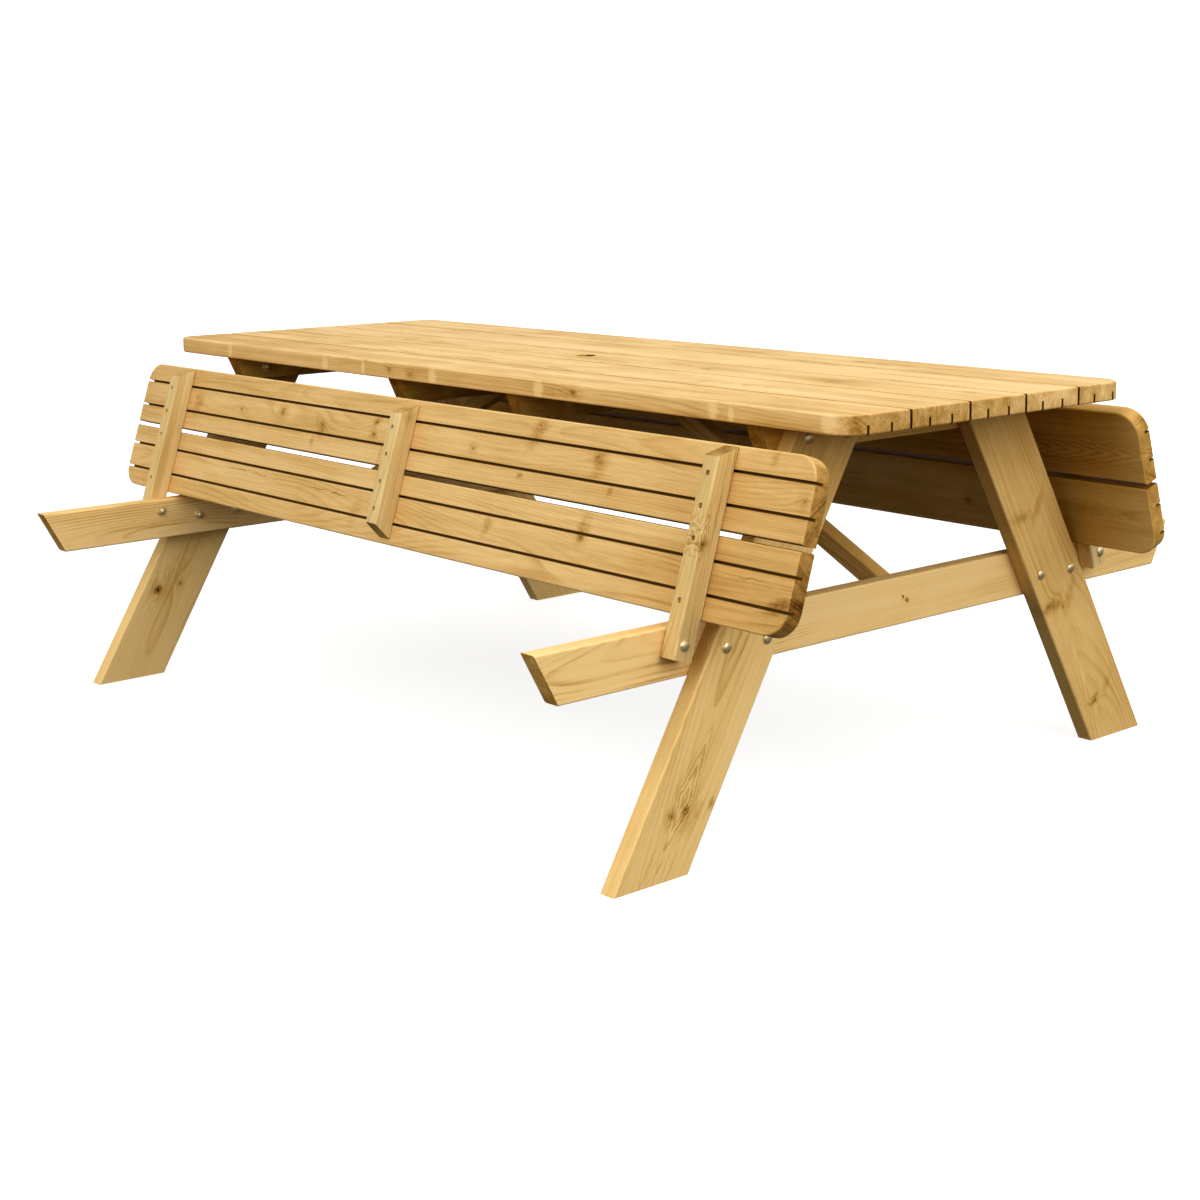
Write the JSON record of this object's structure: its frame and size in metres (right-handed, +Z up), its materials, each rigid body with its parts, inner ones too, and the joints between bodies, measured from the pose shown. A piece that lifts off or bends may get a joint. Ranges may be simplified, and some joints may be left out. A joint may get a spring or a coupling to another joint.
{
  "type": "picnic table bench",
  "caption": "Wooden picnic table on two A-shaped frames; a slatted bench seat on each long side folds up on bolts through the cross-beams and lies down flat on them.",
  "frame": {"origin": "on the floor, under the middle of the tabletop", "axes": "+X along the table's length, +Y across it towards the back seat, +Z up; both seats are folded up"},
  "size_m": [2.15, 1.6792, 0.75],
  "materials": {
    "tabletop_wood": "planed pine, oiled, satin",
    "frame_wood": "planed pine, oiled, satin",
    "seat_wood": "planed pine, oiled, satin",
    "bolt_steel": "zinc plated, lightly yellow, semi-gloss",
    "screw_steel": "dark yellow zinc"
  },
  "bodies": {
    "frame": {"tabletop_board_1": "tabletop_wood", "tabletop_board_2": "tabletop_wood", "tabletop_board_3": "tabletop_wood", "tabletop_board_4": "tabletop_wood", "tabletop_board_5": "tabletop_wood", "end_batten_left": "frame_wood", "end_batten_right": "frame_wood", "middle_batten_left": "frame_wood", "middle_batten_right": "frame_wood", "leg_front_left": "frame_wood", "leg_front_right": "frame_wood", "leg_back_left": "frame_wood", "leg_back_right": "frame_wood", "cross_beam_left": "frame_wood", "cross_beam_right": "frame_wood", "brace_left": "frame_wood", "brace_right": "frame_wood", "beam_bolts": "bolt_steel", "batten_bolts": "bolt_steel", "bolt_washers": "bolt_steel", "bolt_nuts": "bolt_steel", "tabletop_screws": "screw_steel", "brace_screws": "screw_steel"},
    "seat_front": {"seat_front_inner_board": "seat_wood", "seat_front_outer_board": "seat_wood", "seat_front_left_cleat": "seat_wood", "seat_front_middle_cleat": "seat_wood", "seat_front_right_cleat": "seat_wood", "seat_front_screws": "screw_steel", "seat_front_pivot_bolts": "bolt_steel", "seat_front_pivot_washers": "bolt_steel", "seat_front_pivot_nuts": "bolt_steel"},
    "seat_back": {"seat_back_inner_board": "seat_wood", "seat_back_outer_board": "seat_wood", "seat_back_left_cleat": "seat_wood", "seat_back_middle_cleat": "seat_wood", "seat_back_right_cleat": "seat_wood", "seat_back_screws": "screw_steel", "seat_back_pivot_bolts": "bolt_steel", "seat_back_pivot_washers": "bolt_steel", "seat_back_pivot_nuts": "bolt_steel"}
  },
  "joints": [
    {"name": "seat_front_hinge", "type": "hinge", "parent": "frame", "child": "seat_front", "pos_m": [0, -0.55934, 0.383], "axis": [1, 0, 0], "range_deg": [0, 107.5]},
    {"name": "seat_back_hinge", "type": "hinge", "parent": "frame", "child": "seat_back", "pos_m": [0, 0.55934, 0.383], "axis": [-1, 0, 0], "range_deg": [0, 107.5]}
  ]
}
